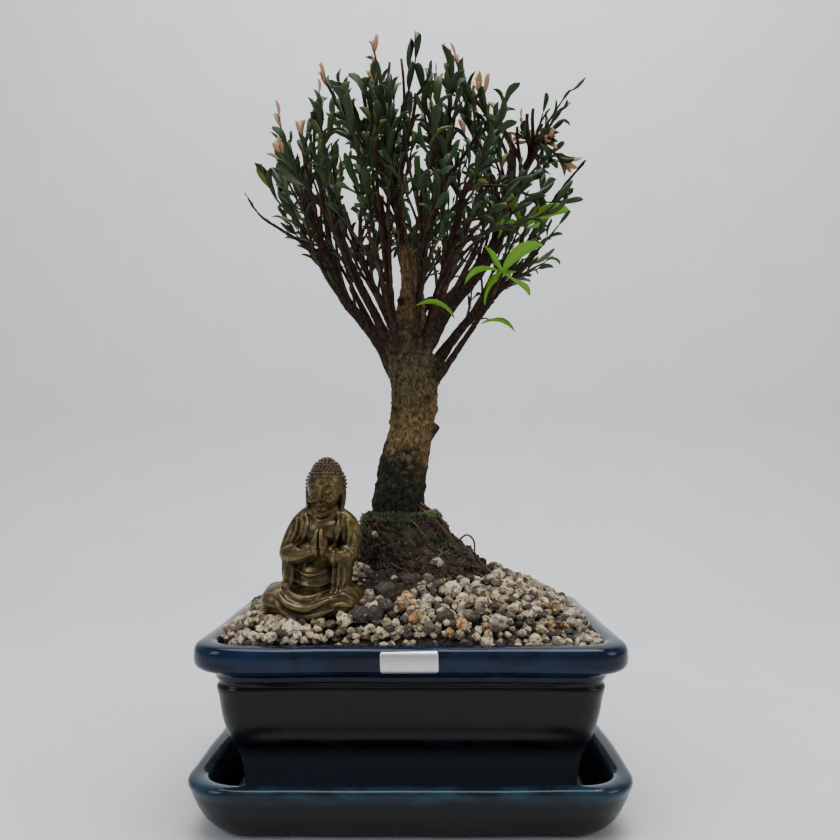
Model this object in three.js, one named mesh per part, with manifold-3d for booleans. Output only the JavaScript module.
// A brush cherry bonsai in a glazed rectangular pot on its drip tray, with gravel over the soil and a small
// seated figure on the gravel. Millimetres, +Z up. The origin is the middle of the tray's underside, the
// tray's long side lies along X and the front faces -Y.
import * as THREE from "three";
import { mergeVertices } from "three/addons/utils/BufferGeometryUtils.js";
import Module from "manifold-3d";

const wasm = await Module();
wasm.setup();

// Driving dimensions
const GAP = 0.3; // what touching pieces keep between them
const CORNER_STEPS = 3; // faces round one corner of the pot and tray
const TRAY = { halfX: 103.3, halfY: 83.5, corner: 24, height: 26.4, floor: 7 };
const POT = {
  halfX: 101.5, halfY: 80, corner: 19, rim: 86.5, foot: TRAY.floor + GAP, underside: 11, floor: 17,
};
const DRAIN = { x: 36, radius: 7, meshSide: 24, meshThick: 1.4, bars: 3, slot: 4.6 };
const FEET = { gapX: 92, gapY: 60 }; // between the four feet
const HEAP = { edge: 83, rise: 40, power: 0.6, halfX: 92, halfY: 72, square: 2.6 };
const PEBBLE = { side: 9, high: 2.6, low: -1.7, jitter: 1.6 };
const FIGURE = { x: -48, y: -41, base: 93.4, turn: -0.14, padX: 26.8, padY: 18.6, corner: 13 };
const WELL = { margin: 3, depth: 5 }; // the dip that the gravel under the figure fills
const LABEL = { x0: -13.4, x1: 12.6, thick: 0.6 };
const CROWN = { x: 1, y: 3, halfX: 84, halfY: 68, top: 392, drop: 58, power: 2, scatter: 14, lean: 0.13 };
const DOME_TIPS = 36; // shoots that end on the dome of the crown
const SIDE_TIPS = 12; // shoots that end lower, round its sides
const SIDE = { halfX: 82, halfY: 66, z: 316, scatter: 26 };
const STEM = { bare: 0.36, gap: 0.6, thick: 1.5, thin: 0.9, sides: 3, stride: 28 }; // bare share, then mm
const LEAF = {
  spacing: 7.4, long: 18, longScatter: 7, wide: 0.36, thick: 1.2, arch: 3, open: 0.7, sunk: -0.15,
};
const YOUNG = { length: 15, long: 13.5, wide: 0.3, open: 0.36 }; // the young leaves that end a shoot
const GOLDEN = Math.PI * (3 - Math.sqrt(5));
const SEED = 20;

const colour = (hex, roughness) => new THREE.MeshStandardMaterial({ color: hex, roughness, metalness: 0 });
const GLAZE = colour(0x14243f, 0.15);
const TRAY_GLAZE = colour(0x1d3a55, 0.18);
const EARTH = colour(0x2c2018, 0.95);
const STONE = colour(0x9a8b74, 0.9);
const BARK = colour(0x6a513a, 0.9);
const GREEN = colour(0x22401f, 0.45);
const BRIGHT_GREEN = colour(0x6aa51c, 0.45);
const BRONZE = colour(0x5d4a22, 0.35);
const SILVER = colour(0xc9cbcd, 0.35);
const PLASTIC = colour(0x1c1c1c, 0.6);

// Solids and meshes
function solid(geometry) {
  const bare = geometry.index ? geometry.toNonIndexed() : geometry.clone();
  const shape = new THREE.BufferGeometry().setAttribute("position", bare.getAttribute("position"));
  const merged = mergeVertices(shape, 1e-3);
  const vertProperties = merged.attributes.position.array;
  const triVerts = new Uint32Array(merged.index.array);
  return new wasm.Manifold(new wasm.Mesh({ numProp: 3, vertProperties, triVerts }));
}

function join(solids) {
  return solids.reduce((all, one) => all.add(one));
}

function surface(shape) {
  const made = shape.getMesh();
  const geometry = new THREE.BufferGeometry();
  geometry.setAttribute("position", new THREE.BufferAttribute(made.vertProperties, 3));
  geometry.setIndex(new THREE.BufferAttribute(made.triVerts, 1));
  return geometry;
}

// A cut can leave crumbs beside the piece: only the piece itself is kept
function withoutCrumbs(shape) {
  const bodies = solid(surface(shape)).decompose();
  return bodies.reduce((best, one) => (one.volume() > best.volume() ? one : best));
}

function mesh(name, shape, material) {
  const geometry = surface(shape);
  geometry.computeVertexNormals();
  const result = new THREE.Mesh(geometry, material);
  result.name = name;
  return result;
}

// The same numbers on every run
function seeded(seed) {
  let state = seed >>> 0;
  return () => {
    state = (Math.imul(state, 1664525) + 1013904223) >>> 0;
    return state / 4294967296;
  };
}

const vector = (list) => new THREE.Vector3(list[0], list[1], list[2]);

// A closed skin of rings, from the centre of the first to the centre of the last. ringPoint(ring, step)
// gives each point, and centre(ring) the middle of an end.
function ringSkin(rings, steps, ringPoint, centre) {
  const geometry = new THREE.CylinderGeometry(1, 1, 1, steps, rings.length - 1);
  const position = geometry.attributes.position;
  for (let i = 0; i < position.count; i++) {
    const at = new THREE.Vector3().fromBufferAttribute(position, i);
    const ring = rings[Math.round((at.y + 0.5) * (rings.length - 1))];
    const step = Math.round((Math.atan2(at.x, at.z) / (2 * Math.PI)) * steps + steps) % steps;
    const moved = Math.hypot(at.x, at.z) < 0.5 ? centre(ring) : ringPoint(ring, step);
    position.setXYZ(i, moved.x, moved.y, moved.z);
  }
  return solid(geometry);
}

// A tube with one radius per point of its path
function limbTube(points, radii, sides, segments) {
  const curve = new THREE.CatmullRomCurve3(points);
  const frames = curve.computeFrenetFrames(segments, false);
  const rings = Array.from({ length: segments + 1 }, (_, k) => {
    const along = (k / segments) * (radii.length - 1);
    const low = Math.min(Math.floor(along), radii.length - 2);
    const radius = THREE.MathUtils.lerp(radii[low], radii[low + 1], along - low);
    const at = segments === points.length - 1 ? points[k] : curve.getPointAt(k / segments);
    return { at, radius, side: frames.normals[k], other: frames.binormals[k] };
  });
  const ringPoint = (ring, step) => {
    const angle = (-2 * Math.PI * step) / sides;
    return ring.at.clone().addScaledVector(ring.side, ring.radius * Math.cos(angle))
      .addScaledVector(ring.other, ring.radius * Math.sin(angle));
  };
  const made = ringSkin(rings, sides, ringPoint, (ring) => ring.at.clone());
  if (made.volume() > 0) return made;
  return ringSkin(rings, sides, (ring, step) => ringPoint(ring, -step), (ring) => ring.at.clone());
}

// Pot and tray: rounded rectangles, one above the other
const BOX_STEPS = 4 * (CORNER_STEPS + 1);

function boxPoint(ring, step) {
  const corner = Math.floor(step / (CORNER_STEPS + 1));
  const turn = (step % (CORNER_STEPS + 1)) / CORNER_STEPS;
  const signX = corner === 0 || corner === 3 ? 1 : -1;
  const signY = corner < 2 ? 1 : -1;
  const angle = ((corner + turn) * Math.PI) / 2;
  const radius = Math.max(ring.corner, 1);
  return new THREE.Vector3(
    signX * (ring.halfX - radius) + radius * Math.cos(angle),
    signY * (ring.halfY - radius) + radius * Math.sin(angle),
    ring.z,
  );
}

// A profile is a list of [inset from the widest outline, height]
function boxShell(size, profile) {
  const rings = profile.map(([inset, z]) => ({
    halfX: size.halfX - inset,
    halfY: size.halfY - inset,
    corner: size.corner - 0.55 * inset,
    z,
  }));
  return ringSkin(rings, BOX_STEPS, boxPoint, (ring) => new THREE.Vector3(0, 0, ring.z));
}

const TRAY_PROFILE = [
  [17, 0], [9.8, 3.8], [5.4, 9.6], [2.4, 16.6], [0.5, 22], [0.3, 24.6], [4, TRAY.height], [8.4, 25],
  [12, 17], [16, 9],
  [20, TRAY.floor],
];
const POT_OUTSIDE = [
  [22.6, POT.foot], [21.8, 22], [20.2, 30.5], [17.2, 37], [14.6, 43], [12.6, 53], [9.8, 66], [7.6, 71.8],
  [4.6, 73.4], [1.6, 75], [0, 78.4], [0.6, 84], [4.4, POT.rim], // the label covers these five
];
const POT_INSIDE = [[9.2, 86.1], [11.6, 83.6], [18, 71], [22.5, 50], [31, POT.floor]];

function pot() {
  const shell = boxShell(POT, [...POT_OUTSIDE, ...POT_INSIDE]);
  const gap = (x, y) => solid(new THREE.BoxGeometry(x, y, 2 * POT.underside));
  const gaps = [gap(FEET.gapX, 2 * POT.halfY), gap(2 * POT.halfX, FEET.gapY)];
  const drains = [-1, 1].map((side) => {
    const hole = new THREE.CylinderGeometry(DRAIN.radius, DRAIN.radius, POT.floor, 16);
    return solid(hole.rotateX(Math.PI / 2).translate(side * DRAIN.x, 0, POT.underside));
  });
  return [...gaps, ...drains].reduce((left, cut) => left.subtract(cut), shell);
}

function drainMesh(side) {
  const middle = DRAIN.meshThick / 2;
  const box = (sx, sy, sz, x, y) => solid(new THREE.BoxGeometry(sx, sy, sz).translate(x, y, middle));
  const pitch = DRAIN.meshSide / (DRAIN.bars + 0.5);
  let plate = box(DRAIN.meshSide, DRAIN.meshSide, DRAIN.meshThick, 0, 0);
  for (let i = 0; i < DRAIN.bars * DRAIN.bars; i++) {
    const x = ((i % DRAIN.bars) - (DRAIN.bars - 1) / 2) * pitch;
    const y = (Math.floor(i / DRAIN.bars) - (DRAIN.bars - 1) / 2) * pitch;
    plate = plate.subtract(box(DRAIN.slot, DRAIN.slot, 3 * DRAIN.meshThick, x, y));
  }
  return plate.translate([side * DRAIN.x, 0, POT.floor + GAP]);
}

// The bare label follows the front of the rim
function rimLabel() {
  const front = POT_OUTSIDE.slice(-5).map(([inset, z]) => new THREE.Vector2(POT.halfY - inset, z));
  const inside = front.map((p) => p.clone());
  const offset = (distance) => inside.map((p, i) => {
    const before = inside[Math.max(i - 1, 0)];
    const after = inside[Math.min(i + 1, inside.length - 1)];
    const along = after.clone().sub(before).normalize();
    return new THREE.Vector2(p.x + along.y * distance, p.y - along.x * distance);
  });
  const outline = [...offset(GAP + 0.1), ...offset(GAP + 0.1 + LABEL.thick).reverse()];
  const length = { depth: LABEL.x1 - LABEL.x0, bevelEnabled: false };
  const strip = new THREE.ExtrudeGeometry(new THREE.Shape(outline), length);
  // the outline's first axis becomes -Y, its second Z, and the extrusion runs along X
  const place = new THREE.Matrix4().makeBasis(
    new THREE.Vector3(0, -1, 0), new THREE.Vector3(0, 0, 1), new THREE.Vector3(-1, 0, 0));
  return solid(strip.applyMatrix4(place).translate(LABEL.x1, 0, 0));
}

// Soil: it fills the pot, rises under the gravel and ends in the bare root ball, which leans to the right
const ROOT_BALL = [ // middle in X, half widths in X and Y, height
  [9, 45, 38, 101], [8, 38, 33.5, 108.5], [3.5, 32, 29, 117], [-2.5, 26, 25, 127], [-5.5, 21.5, 21, 137.5],
  [-5, 18.3, 18.3, 143],
];
const WALL_RINGS = 2; // rings of the pot's inside that the soil leaves free

function figureWell(margin, depth) {
  const size = { halfX: FIGURE.padX + margin, halfY: FIGURE.padY + margin, corner: FIGURE.corner + margin };
  const well = boxShell(size, [[0, FIGURE.base - depth], [0, FIGURE.base + 50]]);
  return well.rotate([0, 0, (FIGURE.turn * 180) / Math.PI]).translate([FIGURE.x, FIGURE.y, 0]);
}

function soil(grow) {
  const wall = POT_INSIDE.slice(WALL_RINGS).reverse().map(([inset, z]) => ({
    halfX: POT.halfX - inset - GAP, halfY: POT.halfY - inset - GAP, corner: POT.corner - 0.55 * inset, z,
  }));
  wall[0].z += GAP;
  const shoulders = [
    { halfX: 80, halfY: 60, corner: 12, z: 74 },
    { halfX: 66, halfY: 54, corner: 30, z: 88 },
  ];
  const rings = [...wall, ...shoulders, ...ROOT_BALL.map(([x, rx, ry, z]) => ({ x, rx, ry, z }))];
  const round = { halfX: 50, halfY: 50, corner: 50, z: 0 };
  const point = (ring, step) => {
    if (!ring.rx) {
      const at = boxPoint(ring, step);
      const out = ring.z > 70 ? grow : 0;
      return at.add(new THREE.Vector3(Math.sign(at.x) * out, Math.sign(at.y) * out, out));
    }
    const turn = boxPoint(round, step);
    const angle = Math.atan2(turn.y, turn.x);
    const lump = 1 + 0.05 * Math.sin(3 * angle + ring.z) + 0.035 * Math.sin(7 * angle - 0.4 * ring.z);
    const x = ring.x + (ring.rx * lump + grow) * Math.cos(angle);
    return new THREE.Vector3(x, (ring.ry * lump + grow) * Math.sin(angle) + 1, ring.z + grow);
  };
  const centre = (ring) => new THREE.Vector3(ring.x ?? 0, 0, ring.z + (ring.rx ? grow - 4 : 0));
  const well = figureWell(WELL.margin - grow, WELL.depth - grow);
  return ringSkin(rings, BOX_STEPS, point, centre).subtract(well);
}

// Gravel: a sheet of pebbles raised by a formula on a three-way lattice, over the soil and inside the rim
function heapHeight(x, y) {
  const { halfX, halfY, square } = HEAP;
  const reach = (Math.abs(x / halfX) ** square + Math.abs(y / halfY) ** square) ** (1 / square);
  const left = 5 * Math.exp(-(((x + 72) / 22) ** 2 + ((y - 8) / 34) ** 2));
  const heap = HEAP.rise * Math.max(0, 1 - reach) ** HEAP.power;
  return HEAP.edge + heap + left * Math.max(0, 1 - reach * reach);
}

function gravel() {
  const draw = seeded(SEED + 7);
  const rowStep = (PEBBLE.side * Math.sqrt(3)) / 2;
  const columns = Math.ceil((2 * POT.halfX) / PEBBLE.side);
  const rows = Math.ceil((2 * POT.halfY) / rowStep);
  const bottom = 60;
  const block = new THREE.BoxGeometry(columns, rows, 1, columns, rows, 1);
  const position = block.attributes.position;
  const corners = { length: (columns + 1) * (rows + 1) };
  const scatter = Array.from(corners, () => [draw() - 0.5, draw() - 0.5, draw() - 0.5]);
  for (let i = 0; i < position.count; i++) {
    const column = Math.round(position.getX(i) + columns / 2);
    const row = Math.round(position.getY(i) + rows / 2);
    const [sx, sy, sz] = scatter[row * (columns + 1) + column];
    const crest = (column + row) % 3 === 0 || (column + row + Math.floor(row / 2)) % 3 === 0;
    const x = (column + (row % 2) / 2 - columns / 2) * PEBBLE.side + sx * PEBBLE.jitter;
    const y = (row - rows / 2) * rowStep + sy * PEBBLE.jitter;
    const bump = crest ? PEBBLE.high + sz * PEBBLE.jitter : PEBBLE.low;
    position.setXYZ(i, x, y, position.getZ(i) > 0 ? heapHeight(x, y) + bump : bottom);
  }
  const inside = boxShell(
    { halfX: POT.halfX - GAP, halfY: POT.halfY - GAP, corner: POT.corner },
    [[18.2, 71], [14.2, 79], [11.2, 84.6], [11.2, 140]],
  );
  return withoutCrumbs(solid(block).intersect(inside).subtract(soil(GAP)).subtract(figureWell(0, GAP)));
}

// The wood. Each limb is a list of points, then its radius at both ends. They are placed as the tree shows
// them from the front, and spread in depth so that the crown is round from above.
const TRUNK = [
  [-6, 2, 122, 14], [-7.6, 2, 133, 15.2], [-8, 1.5, 143, 14.2], [-7, 1, 155, 13.3], [-4.4, 0.5, 171, 13],
  [-1, 0, 188, 11.8], [0.9, 0, 202, 12.6], [0.2, 0, 216, 13.2], [-0.7, 0, 233, 11.6], [-1, 0, 250, 9],
  [-0.7, 0, 267, 7.2], [-0.4, 0, 283, 6.2], [-0.3, 0, 292, 5.8],
];
const LIMBS = [
  { name: "left_low", from: 4.3, to: 2.2, path: [
    [-7, 0, 212], [-16, -1, 233], [-28, -3, 249], [-38.5, -5, 261], [-43, -6, 274], [-52, -8, 294],
    [-61, -10, 314],
  ] },
  { name: "left_mid", from: 3.1, to: 1.8, path: [
    [-6, -3, 225], [-17, -6, 244], [-26, -10, 262], [-37, -15, 286], [-46, -19, 310],
  ] },
  { name: "front_left", from: 2.7, to: 1.7, path: [
    [-5, -8, 214], [-10.5, -14, 246], [-13, -19, 278], [-17, -26, 312],
  ] },
  { name: "right_thick", from: 5.8, to: 3.1, path: [
    [3, 1, 230], [17.5, 3, 256], [32, 5, 273], [44, 6, 289], [51, 8, 306], [56, 10, 328],
    [58, 11, 352],
  ] },
  { name: "right_fork", from: 3, to: 2.2, path: [[53, 8, 314], [61, 6, 331], [67, 4, 345], [72, 3, 358]] },
  { name: "right_low_bare", from: 2.3, to: 1.5, path: [
    [7, -4, 206], [29, -9, 238], [43, -12, 258], [56, -15, 272], [68, -18, 284],
  ] },
  { name: "right_long", from: 2.9, to: 1.1, path: [
    [6, -2, 212], [24, 0, 241], [38, 2, 257], [52, 3, 274], [66, 3, 296], [83, 1, 323],
    [98, -2, 341],
  ] },
  { name: "back_left", from: 3.6, to: 1.8, path: [
    [-4, 5, 232], [-15, 18, 256], [-27, 31, 282], [-37, 44, 310],
  ] },
  { name: "back_right", from: 3.6, to: 1.8, path: [
    [4, 6, 236], [14, 20, 262], [24, 34, 290], [32, 46, 316],
  ] },
  { name: "front_right", from: 2.8, to: 1.7, path: [
    [4, -6, 226], [12, -16, 256], [20, -26, 284], [27, -36, 312],
  ] },
  { name: "back_centre", from: 3.1, to: 1.8, path: [[-1, 6, 246], [-4, 20, 274], [-6, 38, 306]] },
  { name: "leader_left", from: 2.8, to: 1.8, path: [[-2, -1, 280], [-7, -2, 303], [-12, -3, 330]] },
  { name: "leader_right", from: 2.8, to: 1.8, path: [[2, 1, 278], [10, 1, 304], [18, 0, 332]] },
  { name: "front_centre", from: 2.6, to: 1.7, path: [
    [0, -8, 222], [3, -19, 252], [5, -31, 282], [5, -43, 308],
  ] },
  { name: "left_back_low", from: 2.8, to: 1.7, path: [
    [-7, 3, 218], [-24, 12, 244], [-42, 22, 268], [-56, 30, 294],
  ] },
  { name: "right_back_low", from: 2.8, to: 1.7, path: [
    [7, 4, 220], [26, 14, 246], [44, 24, 270], [60, 32, 296],
  ] },
  { name: "left_twig", from: 1.6, to: 0.9, path: [
    [-43, -6, 277], [-54, -8, 287], [-72, -10, 298], [-84, -11, 306], [-93, -12, 319],
  ] },
];
// The limbs that shoots leave from
const BEARERS = LIMBS.filter((limb) => !/bare|long|twig/.test(limb.name));
const STUBS = [ // where a branch was cut off, and the way it pointed
  { at: [12, -3, 189], lean: [4, -1, 4] },
  { at: [8, -11, 205], lean: [3, -4, 2] },
  { at: [-9, -10, 199], lean: [-3, -4, 3] },
  { at: [9, 8, 262], lean: [5, 3, 5] },
];

function trunkSolid(grow) {
  const points = TRUNK.map((row) => vector(row));
  const core = limbTube(points, TRUNK.map((row) => row[3] + grow), 9, 12);
  if (grow) return core;
  const stubs = STUBS.map(({ at, lean }) => {
    const ends = [-1, 0, 0.5].map((share) => vector(at).addScaledVector(vector(lean), share));
    return limbTube(ends, [4, 2.6, 2], 6, 2);
  });
  return join([core, ...stubs]);
}

const limbCurve = (limb) => new THREE.CatmullRomCurve3(limb.path.map(vector));

// Where the shoots end: a sunflower pattern on the dome of the crown, then a ring round its sides
function shootTips() {
  const draw = seeded(SEED);
  const tips = [];
  for (let i = 0; i < DOME_TIPS; i++) {
    const reach = Math.sqrt((i + 0.5) / DOME_TIPS);
    const turn = i * GOLDEN + 0.5;
    const across = CROWN.halfX * reach * Math.cos(turn);
    const dome = CROWN.top - CROWN.drop * reach ** CROWN.power - CROWN.lean * across;
    const z = dome + (draw() - 0.5) * CROWN.scatter;
    tips.push(vector([CROWN.x + across, CROWN.y + CROWN.halfY * reach * Math.sin(turn), z]));
  }
  for (let i = 0; i < SIDE_TIPS; i++) {
    const turn = ((i + 0.3) * 2 * Math.PI) / SIDE_TIPS;
    const z = SIDE.z + (draw() - 0.5) * SIDE.scatter;
    tips.push(vector([CROWN.x + SIDE.halfX * Math.cos(turn), CROWN.y + SIDE.halfY * Math.sin(turn), z]));
  }
  return tips;
}

// A stem leaves the limb whose end is nearest to its tip, along the limb, and turns up to the tip. bow
// bends it to one side
function stemCurve(tip, share, bow) {
  const limb = BEARERS.reduce((best, one) => {
    const away = (l) => vector(l.path[l.path.length - 1]).distanceTo(tip);
    return away(one) < away(best) ? one : best;
  });
  const curve = limbCurve(limb);
  const from = curve.getPointAt(share);
  const leaving = curve.getTangentAt(share);
  const length = from.distanceTo(tip);
  const ahead = tip.clone().sub(from).normalize();
  const arriving = ahead.clone().add(new THREE.Vector3(0, 0, 0.7)).normalize();
  const aside = new THREE.Vector3(0, 0, 1).cross(ahead).normalize().multiplyScalar(bow * length);
  return new THREE.CubicBezierCurve3(
    from,
    from.clone().addScaledVector(leaving, 0.35 * length).add(aside),
    tip.clone().addScaledVector(arriving, -0.3 * length).add(aside),
    tip,
  );
}

// One leaf: a three-sided blade with a keel below, pointed at both ends and widest past its middle
function leafSolid(leaf, spare) {
  const shape = new THREE.SphereGeometry(1, 3, 3);
  const position = shape.attributes.position;
  const across = leaf.out.clone().cross(leaf.up);
  for (let i = 0; i < position.count; i++) {
    const y = position.getY(i);
    const atEnd = Math.abs(y) > 0.9;
    const side = atEnd ? 0 : Math.sign(Math.round(position.getZ(i) * 2));
    const along = y > 0.9 ? 1 : y > 0 ? 0.73 : y < -0.9 ? 0 : 0.33;
    const width = (y > 0 ? 0.46 : 0.42) * leaf.width + spare;
    const lift = LEAF.arch * (0.25 - (along - 0.5) ** 2);
    const keel = atEnd || side ? spare * Math.abs(side) : -LEAF.thick - spare;
    const moved = leaf.at.clone()
      .addScaledVector(leaf.out, along * (leaf.length + spare))
      .addScaledVector(across, side * width)
      .addScaledVector(leaf.up, lift + keel);
    position.setXYZ(i, moved.x, moved.y, moved.z);
  }
  const made = solid(shape);
  return made.volume() > 0 ? made : solid(flipped(shape));
}

function flipped(geometry) {
  const index = geometry.index;
  for (let i = 0; i < index.count; i += 3) {
    const second = index.getX(i + 1);
    index.setX(i + 1, index.getX(i + 2));
    index.setX(i + 2, second);
  }
  return geometry;
}

// The point at a share of the stem's length, on the straight length that it falls in
function pointOnStem(curve, along) {
  const start = greenStart(curve);
  const segments = stemSegments(curve, start, 1);
  const step = (1 - start) / segments;
  const k = THREE.MathUtils.clamp(Math.floor((along - start) / step), 0, segments - 1);
  const from = start + k * step;
  return curve.getPointAt(from).lerp(curve.getPointAt(Math.min(1, from + step)), (along - from) / step);
}

// A leaf on a stem: turn is its direction round the stem, open its angle to it
function leafAt(curve, along, turn, open, length, width) {
  const at = pointOnStem(curve, along);
  const stem = curve.getTangentAt(along);
  const side = new THREE.Vector3(0, 1, 0).cross(stem).normalize();
  const other = stem.clone().cross(side);
  const radial = side.multiplyScalar(Math.cos(turn)).addScaledVector(other, Math.sin(turn));
  const out = stem.clone().multiplyScalar(Math.cos(open)).addScaledVector(radial, Math.sin(open));
  const up = stem.clone().multiplyScalar(Math.sin(open)).addScaledVector(radial, -Math.cos(open));
  return { at: at.addScaledVector(out, -LEAF.sunk), out, up, length, width };
}

// Leaves stand in crossed pairs. Every second pair is built here, at true size, up to the tip
function leavesOf(curve, first, last, draw) {
  const length = curve.getLength();
  const pairs = Math.max(2, Math.round(((last - first) * length) / LEAF.spacing));
  const start = draw() * Math.PI;
  const leaves = [];
  for (let i = 0; i <= pairs; i++) {
    const along = first + ((last - first) * (i + 0.15)) / (pairs + 0.2);
    const high = i / pairs;
    for (const side of [0, Math.PI]) {
      const size = (LEAF.long + (draw() - 0.5) * LEAF.longScatter) * (1 - 0.22 * Math.abs(high - 0.45));
      const turn = start + (i * Math.PI) / 2 + side + (draw() - 0.5) * 0.5;
      const open = LEAF.open - 0.4 * high + (draw() - 0.5) * 0.3;
      const leaf = leafAt(curve, along, turn, open, size, size * LEAF.wide);
      leaves.push({ ...leaf, built: (pairs - i) % 2 === 0 });
    }
  }
  return leaves;
}

// The shoots that end in young red leaves, and the two bright sprays on the low right limbs
const YOUNG_AT = [
  [18, -20, 405], [-22, -20, 405], [-46, -25, 392], [-74, -10, 376], [78, -12, 362], [62, -30, 372],
  [-90, 0, 350], [5, 20, 405], [40, 40, 385],
];
const BRIGHT_SPRAYS = [ // the spur's foot and top, then each leaf's length and where it points
  {
    foot: [41, -11, 255],
    top: [46, -20, 266],
    leaves: [[26, 66, -26, 283], [20, 38, -34, 282], [21, 26, -20, 266], [19, 63, -26, 258]],
  },
  {
    foot: [58, 2.5, 284],
    top: [61, -7, 295],
    leaves: [[27, 80, -10, 306], [22, 53, -14, 318], [20, 84, -2, 312], [18, 42, -16, 300]],
  },
];

const placed = []; // each piece of the tree so far, so that the next one can keep clear of it

function place(piece, kind) {
  placed.push({ solid: piece, box: piece.boundingBox(), kind });
  return piece;
}

function clears(candidate, own) {
  const box = candidate.boundingBox();
  const apart = (other) => [0, 1, 2].some((k) => box.min[k] > other.max[k] || box.max[k] < other.min[k]);
  const misses = (item) => apart(item.box) || candidate.intersect(item.solid).isEmpty();
  return placed.every((item) => item.kind === own || misses(item));
}

// Part of a stem, from one share of its length to another, as straight lengths
function stemPart(curve, from, to, thick, thin, spare) {
  const segments = stemSegments(curve, from, to);
  const step = (to - from) / segments;
  const points = Array.from({ length: segments + 1 }, (_, k) => curve.getPointAt(from + k * step));
  return limbTube(points, [thick + spare, thin + spare], STEM.sides, segments);
}

function greenStart(curve) {
  return STEM.bare + STEM.gap / curve.getLength();
}

function stemSegments(curve, from, to) {
  return Math.max(1, Math.round(((to - from) * curve.getLength()) / STEM.stride));
}

// A stem is bare wood first, then a green shoot
function stemParts(curve, spare) {
  return {
    wood: stemPart(curve, 0, STEM.bare, STEM.thick, 1.3, spare),
    green: stemPart(curve, greenStart(curve), 1, 1.3, STEM.thin, spare),
  };
}

// The first way up to the tip on which the stem meets nothing
function freeStem(tip, draw) {
  const share = 0.55 + 0.42 * draw();
  const bows = [0, 0.1, -0.1, 0.2, -0.2, 0.3, -0.3];
  const tries = bows.flatMap((bow) => [0, -0.12, 0.05].map((back) => [bow, back]));
  for (const [bow, back] of tries) {
    const curve = stemCurve(tip, THREE.MathUtils.clamp(share + back, 0.4, 0.98), bow);
    const parts = stemParts(curve, GAP);
    if (clears(parts.wood, "wood") && clears(parts.green)) return curve;
  }
  return null;
}

function tree() {
  const wood = [place(trunkSolid(0), "wood")];
  for (const limb of LIMBS) {
    const sides = limb.from > 4 ? 5 : 4;
    const limbSolid = limbTube(limb.path.map(vector), [limb.from, limb.to], sides, limb.path.length - 1);
    wood.push(place(limbSolid, "wood"));
  }
  for (const { foot, top } of BRIGHT_SPRAYS) {
    wood.push(place(limbTube([foot, top].map(vector), [1.6, 1.2], STEM.sides, 1), "wood"));
  }
  const draw = seeded(SEED + 1);
  const tips = shootTips();
  const nearest = (target) => tips.reduce((best, tip, i) =>
    (tip.distanceTo(vector(target)) < tips[best].distanceTo(vector(target)) ? i : best), 0);
  const youngTips = new Set(YOUNG_AT.map(nearest));
  const stems = [];
  for (const [i, tip] of tips.entries()) {
    const curve = freeStem(tip, draw);
    if (!curve) continue;
    const stem = { curve, young: youngTips.has(i), kind: `stem ${i}`, parts: stemParts(curve, 0) };
    stems.push(stem);
    wood.push(place(stem.parts.wood, "wood"));
    place(stem.parts.green, stem.kind);
  }
  const sprays = BRIGHT_SPRAYS.map((spray, i) => brightSpray(spray, `spray ${i}`));
  const shoots = stems.map((stem) => leafyShoot(stem, draw));
  return [
    mesh("tree_wood", join(wood), BARK),
    ...shoots.map((shoot, i) => mesh(`shoot_${String(i + 1).padStart(2, "0")}`, shoot, GREEN)),
    ...sprays.map((spray, i) => mesh(`bright_spray_${i + 1}`, spray, BRIGHT_GREEN)),
  ];
}

// Adds a leaf to its shoot unless it would meet another piece
function addLeaf(pieces, leaf, kind) {
  if (!clears(leafSolid(leaf, GAP), kind)) return;
  pieces.push(place(leafSolid(leaf, 0), kind));
}

function leafyShoot(stem, draw) {
  const pieces = [stem.parts.green];
  const young = stem.young ? YOUNG.length / stem.curve.getLength() : 0;
  for (const leaf of leavesOf(stem.curve, STEM.bare + 0.04, 0.985 - young, draw)) {
    if (leaf.built) addLeaf(pieces, leaf, stem.kind);
  }
  const turn = draw() * Math.PI;
  for (let i = 0; stem.young && i < 5; i++) {
    const pair = Math.floor(i / 2);
    const along = Math.min(0.99, 1 - young * (0.7 - 0.33 * pair));
    const size = YOUNG.long * (1 - 0.12 * pair);
    const open = i === 4 ? 0.05 : YOUNG.open;
    const side = turn + i * Math.PI + (pair * Math.PI) / 2;
    const leaf = leafAt(stem.curve, along, side, open, size, size * YOUNG.wide);
    addLeaf(pieces, leaf, stem.kind);
  }
  return join(pieces);
}

// A spray's leaves all leave the end of its short stem
function brightSpray({ foot, top, leaves }, kind) {
  const from = vector(top);
  const ahead = from.clone().sub(vector(foot)).normalize();
  const ends = [GAP + 0.1, 3, 6].map((distance) => from.clone().addScaledVector(ahead, distance));
  const pieces = [place(limbTube(ends, [1.2, 1], STEM.sides, 2), kind)];
  for (const [length, x, y, z] of leaves) {
    const at = ends[2].clone().addScaledVector(ahead, -0.8);
    const out = vector([x, y, z]).sub(at).normalize();
    const up = new THREE.Vector3(0, 0, 1).addScaledVector(out, -out.z).normalize();
    addLeaf(pieces, { at, out, up, length, width: length * 0.27 }, kind);
  }
  return join(pieces);
}

// The seated figure: an arrangement of plain rounded forms, its front towards -Y before it is turned
function ball(x, y, z, rx, ry, rz, wide = 8, high = 5) {
  const sphere = new THREE.SphereGeometry(1, wide, high).rotateX(Math.PI / 2);
  return solid(sphere.scale(rx, ry, rz).translate(x, y, z));
}

function robeRoll(points, radii) {
  return limbTube(points.map(vector), radii, 4, points.length - 1);
}

const HAND_X = 6;
const ARMS = { // from the shoulder to the elbow
  left: [[-4, 2, 50.4], [-7.6, 1.6, 46.4], [-10.8, 0, 40], [-13.4, -3, 31.5]],
  right: [[12.6, 2, 49.6], [16.3, 1.6, 46], [18.8, 0, 39.5], [19.2, -3, 31.5]],
};

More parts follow.
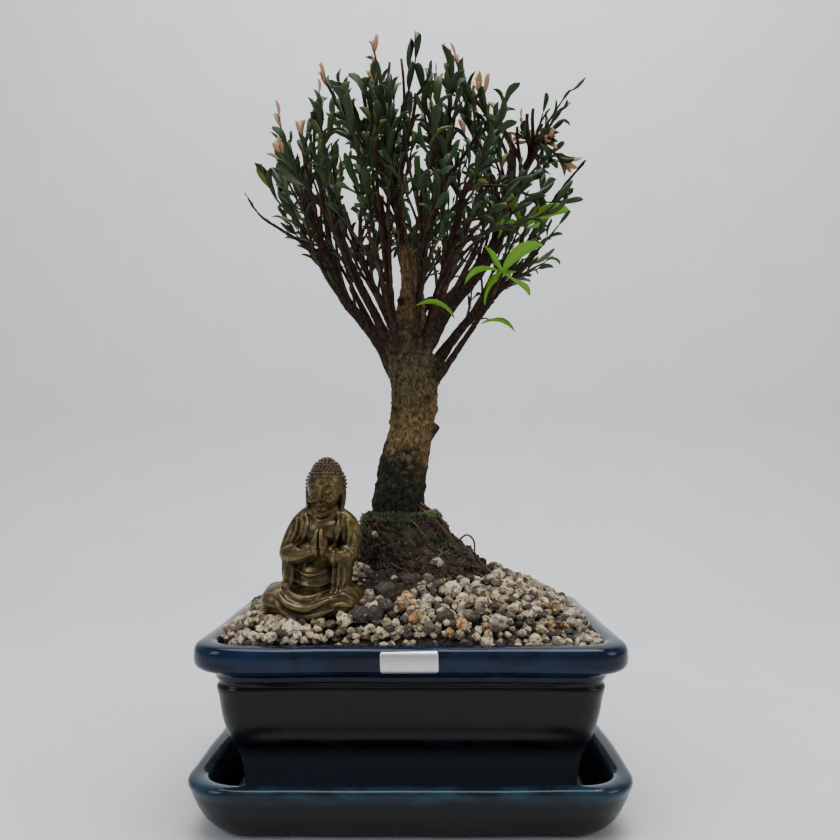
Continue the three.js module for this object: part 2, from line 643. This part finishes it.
function robedArm(arm, side) {
  const elbow = arm[arm.length - 1];
  const [x] = elbow;
  const forearm = [elbow, [x * 0.58 + HAND_X * 0.42, -10, 30.8], [HAND_X + 1.4 * side, -13.6, 33.6]];
  const front = side > 0 ? -7 : -4; // the right sleeve hangs open
  const sleeve = [[x * 0.87, front, 31], [x * 0.84, front, 22], [x * 0.76, front, 15]];
  return [
    robeRoll(arm, [4.6, 5.2, 5.1, 4.6]),
    robeRoll(forearm, [4.7, 4.1, 2.6]),
    robeRoll(sleeve, [4.2, 4.6, 4.4]),
  ];
}

function seatedFigure() {
  const forms = [
    ball(0, -2, 8, 24, 17, 8.2, 10, 5), // the base of the robe and the two knees
    ball(-15.5, -5, 8.6, 10.2, 12, 8.4),
    ball(15.5, -5, 8.6, 10.2, 12, 8.4),
    ball(2, 3, 25, 14.5, 11, 21, 8, 6), // body and chest
    ball(3.8, 2.5, 42, 14.5, 9.5, 9.5, 8, 5),
    ball(2, -2.5, 21, 10.5, 8.4, 9, 6, 4),
    ball(3.6, -1, 42, 10, 7.8, 8, 6, 4),
    robeRoll([[4.6, 3, 48], [5, 3, 62]], [8.2, 8.4]),
    ball(5, -0.8, 62.5, 8.6, 9.5, 11.6, 8, 6), // head, then hair, ears and nose
    ball(5, 1.2, 65.5, 10, 10.2, 10.2, 8, 5),
    ball(5, 1.8, 71.6, 7.4, 7.6, 6.4, 8, 4),
    ball(5, 1.9, 74.6, 4.8, 5, 4.1, 6, 4),
    ball(-3.7, 0, 58.5, 1.7, 2.2, 6.6, 4, 4),
    ball(13.7, 0, 58.5, 1.7, 2.2, 6.6, 4, 4),
    ball(5, -9.4, 60, 1.5, 2, 3.2, 4, 3),
    ball(HAND_X, -13.8, 37.6, 3, 3.8, 6.6, 6, 4),
    ...robedArm(ARMS.left, -1),
    ...robedArm(ARMS.right, 1),
    robeRoll([[-18, -9, 15], [-8, -15.5, 9.5], [3, -17.5, 7.5], [14, -14, 11]], [2.6, 3.2, 2.6]),
  ];
  const base = solid(new THREE.BoxGeometry(80, 80, 20).translate(0, 0, -10));
  const turned = join(forms).subtract(base);
  return turned.rotate([0, 0, (FIGURE.turn * 180) / Math.PI]).translate([FIGURE.x, FIGURE.y, FIGURE.base]);
}

// The room that the soil leaves for the two drain meshes
function drainMeshRoom() {
  const side = DRAIN.meshSide + 2 * GAP;
  const high = DRAIN.meshThick + 2 * GAP;
  const room = (x) => solid(new THREE.BoxGeometry(side, side, 2 * high).translate(x, 0, POT.floor));
  return room(-DRAIN.x).add(room(DRAIN.x));
}

const bonsai = new THREE.Group();
bonsai.add(
  mesh("drip_tray", boxShell(TRAY, TRAY_PROFILE), TRAY_GLAZE),
  mesh("pot", pot(), GLAZE),
  mesh("drain_mesh_left", drainMesh(-1), PLASTIC),
  mesh("drain_mesh_right", drainMesh(1), PLASTIC),
  mesh("rim_label", rimLabel(), SILVER),
  mesh("soil", soil(0).subtract(trunkSolid(GAP)).subtract(drainMeshRoom()), EARTH),
  mesh("gravel", gravel(), STONE),
  mesh("seated_figure", seatedFigure(), BRONZE),
  ...tree(),
);

export default bonsai;
